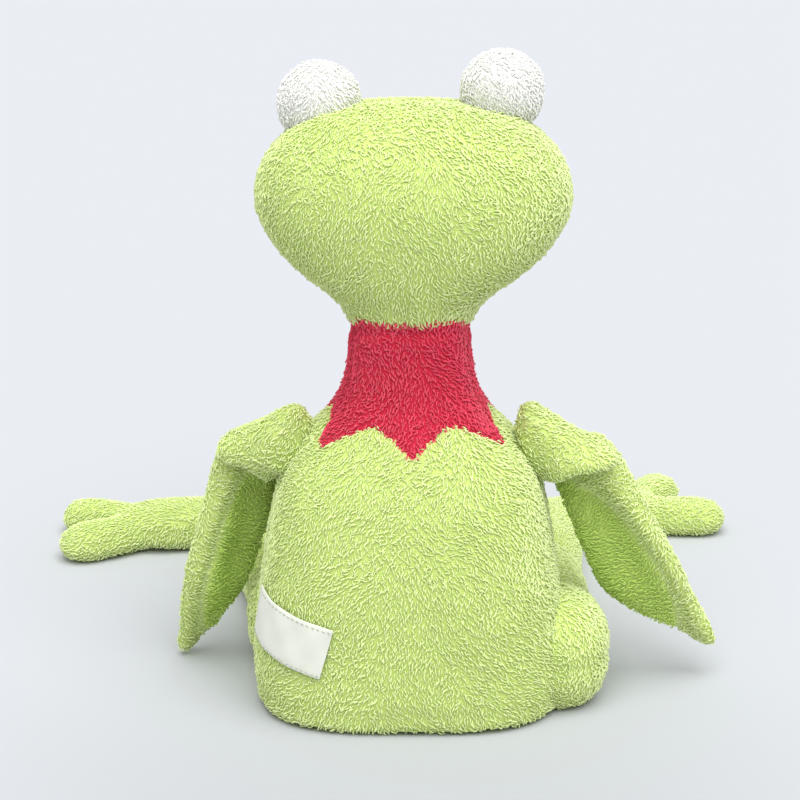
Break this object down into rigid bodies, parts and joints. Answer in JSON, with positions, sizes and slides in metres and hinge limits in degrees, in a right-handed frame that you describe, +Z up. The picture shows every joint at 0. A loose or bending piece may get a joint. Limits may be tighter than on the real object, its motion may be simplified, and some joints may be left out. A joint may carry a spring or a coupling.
{
  "type": "plush frog",
  "caption": "Sitting stuffed frog in green terry cloth with a red zigzag neck and white eyes, bending at neck, shoulders, elbows, hips, knees and ankles.",
  "frame": {"origin": "middle of the flat seat that the frog sits on, at the level of the surface under it", "axes": "+Z up, the frog faces -Y, its left hand is on +X"},
  "size_m": [0.3228, 0.2857, 0.2688],
  "materials": {
    "green_terry": "light green cotton terry with long loops",
    "red_terry": "red cotton terry with long loops",
    "white_terry": "white cotton terry",
    "label_cloth": "smooth off-white woven label, bare",
    "black_felt": "black felt",
    "green_thread": "dark green stitching thread",
    "stuffing": "loose white polyester fibre"
  },
  "bodies": {
    "torso": {"torso_back_panel": "green_terry", "torso_belly_panel": "green_terry", "torso_seat_panel": "green_terry", "neck_collar": "red_terry", "torso_stuffing": "stuffing", "back_label": "label_cloth"},
    "neck": {"neck_stuffing": "stuffing"},
    "head": {"head_back_panel": "green_terry", "head_face_panel": "green_terry", "head_chin_panel": "green_terry", "head_stuffing": "stuffing", "eye_left_cover": "white_terry", "eye_left_stuffing": "stuffing", "pupil_left": "black_felt", "nostril_left": "green_thread", "eye_right_cover": "white_terry", "eye_right_stuffing": "stuffing", "pupil_right": "black_felt", "nostril_right": "green_thread", "mouth_stitching": "green_thread"},
    "upper_arm_left": {"upper_arm_left_back_panel": "green_terry", "upper_arm_left_front_panel": "green_terry", "upper_arm_left_stuffing": "stuffing"},
    "forearm_left": {"forearm_left_back_panel": "green_terry", "forearm_left_front_panel": "green_terry", "forearm_left_stuffing": "stuffing"},
    "upper_arm_right": {"upper_arm_right_back_panel": "green_terry", "upper_arm_right_front_panel": "green_terry", "upper_arm_right_stuffing": "stuffing"},
    "forearm_right": {"forearm_right_back_panel": "green_terry", "forearm_right_front_panel": "green_terry", "forearm_right_stuffing": "stuffing"},
    "thigh_left": {"thigh_left_top_panel": "green_terry", "thigh_left_under_panel": "green_terry", "thigh_left_stuffing": "stuffing"},
    "shin_left": {"shin_left_top_panel": "green_terry", "shin_left_under_panel": "green_terry", "shin_left_stuffing": "stuffing"},
    "foot_left": {"foot_left_top_panel": "green_terry", "foot_left_sole_panel": "green_terry", "foot_left_stuffing": "stuffing"},
    "thigh_right": {"thigh_right_top_panel": "green_terry", "thigh_right_under_panel": "green_terry", "thigh_right_stuffing": "stuffing"},
    "shin_right": {"shin_right_top_panel": "green_terry", "shin_right_under_panel": "green_terry", "shin_right_stuffing": "stuffing"},
    "foot_right": {"foot_right_top_panel": "green_terry", "foot_right_sole_panel": "green_terry", "foot_right_stuffing": "stuffing"}
  },
  "joints": [
    {"name": "head_turn", "type": "hinge", "parent": "torso", "child": "neck", "pos_m": [0, -0.003, 0.14403], "axis": [0, 0, 1], "range_deg": [-30, 30]},
    {"name": "head_nod", "type": "hinge", "parent": "neck", "child": "head", "pos_m": [0, -0.003, 0.14403], "axis": [1, 0, 0], "range_deg": [-18, 18]},
    {"name": "shoulder_left", "type": "hinge", "parent": "torso", "child": "upper_arm_left", "pos_m": [0.051, 0, 0.108], "axis": [0, -1, 0], "range_deg": [0, 50]},
    {"name": "elbow_left", "type": "hinge", "parent": "upper_arm_left", "child": "forearm_left", "pos_m": [0.06815, -0.01389, 0.09626], "axis": [-0.76, -0.25, -0.6], "range_deg": [-4, 50]},
    {"name": "hip_left", "type": "hinge", "parent": "torso", "child": "thigh_left", "pos_m": [0.046, -0.028, 0.027], "axis": [-0.9848, -0.1736, 0], "range_deg": [-10, 24]},
    {"name": "knee_left", "type": "hinge", "parent": "thigh_left", "child": "shin_left", "pos_m": [0.05434, -0.07527, 0.021], "axis": [-0.9781, -0.2079, 0], "range_deg": [-25, 45]},
    {"name": "ankle_left", "type": "hinge", "parent": "shin_left", "child": "foot_left", "pos_m": [0.07853, -0.1723, 0.011], "axis": [0, 0, 1], "range_deg": [-65, 10]},
    {"name": "shoulder_right", "type": "hinge", "parent": "torso", "child": "upper_arm_right", "pos_m": [-0.051, 0, 0.108], "axis": [0, 1, 0], "range_deg": [0, 50]},
    {"name": "elbow_right", "type": "hinge", "parent": "upper_arm_right", "child": "forearm_right", "pos_m": [-0.07367, 0.00482, 0.09863], "axis": [-0.8782, 0.2511, 0.4071], "range_deg": [-25, 50]},
    {"name": "hip_right", "type": "hinge", "parent": "torso", "child": "thigh_right", "pos_m": [-0.0625, 0.008, 0.027], "axis": [-0.9994, -0.0349, 0], "range_deg": [-10, 24]},
    {"name": "knee_right", "type": "hinge", "parent": "thigh_right", "child": "shin_right", "pos_m": [-0.05992, -0.06595, 0.021], "axis": [-0.9994, 0.0349, 0], "range_deg": [-25, 45]},
    {"name": "ankle_right", "type": "hinge", "parent": "shin_right", "child": "foot_right", "pos_m": [-0.07037, -0.16541, 0.011], "axis": [0, 0, -1], "range_deg": [-65, 10]}
  ]
}
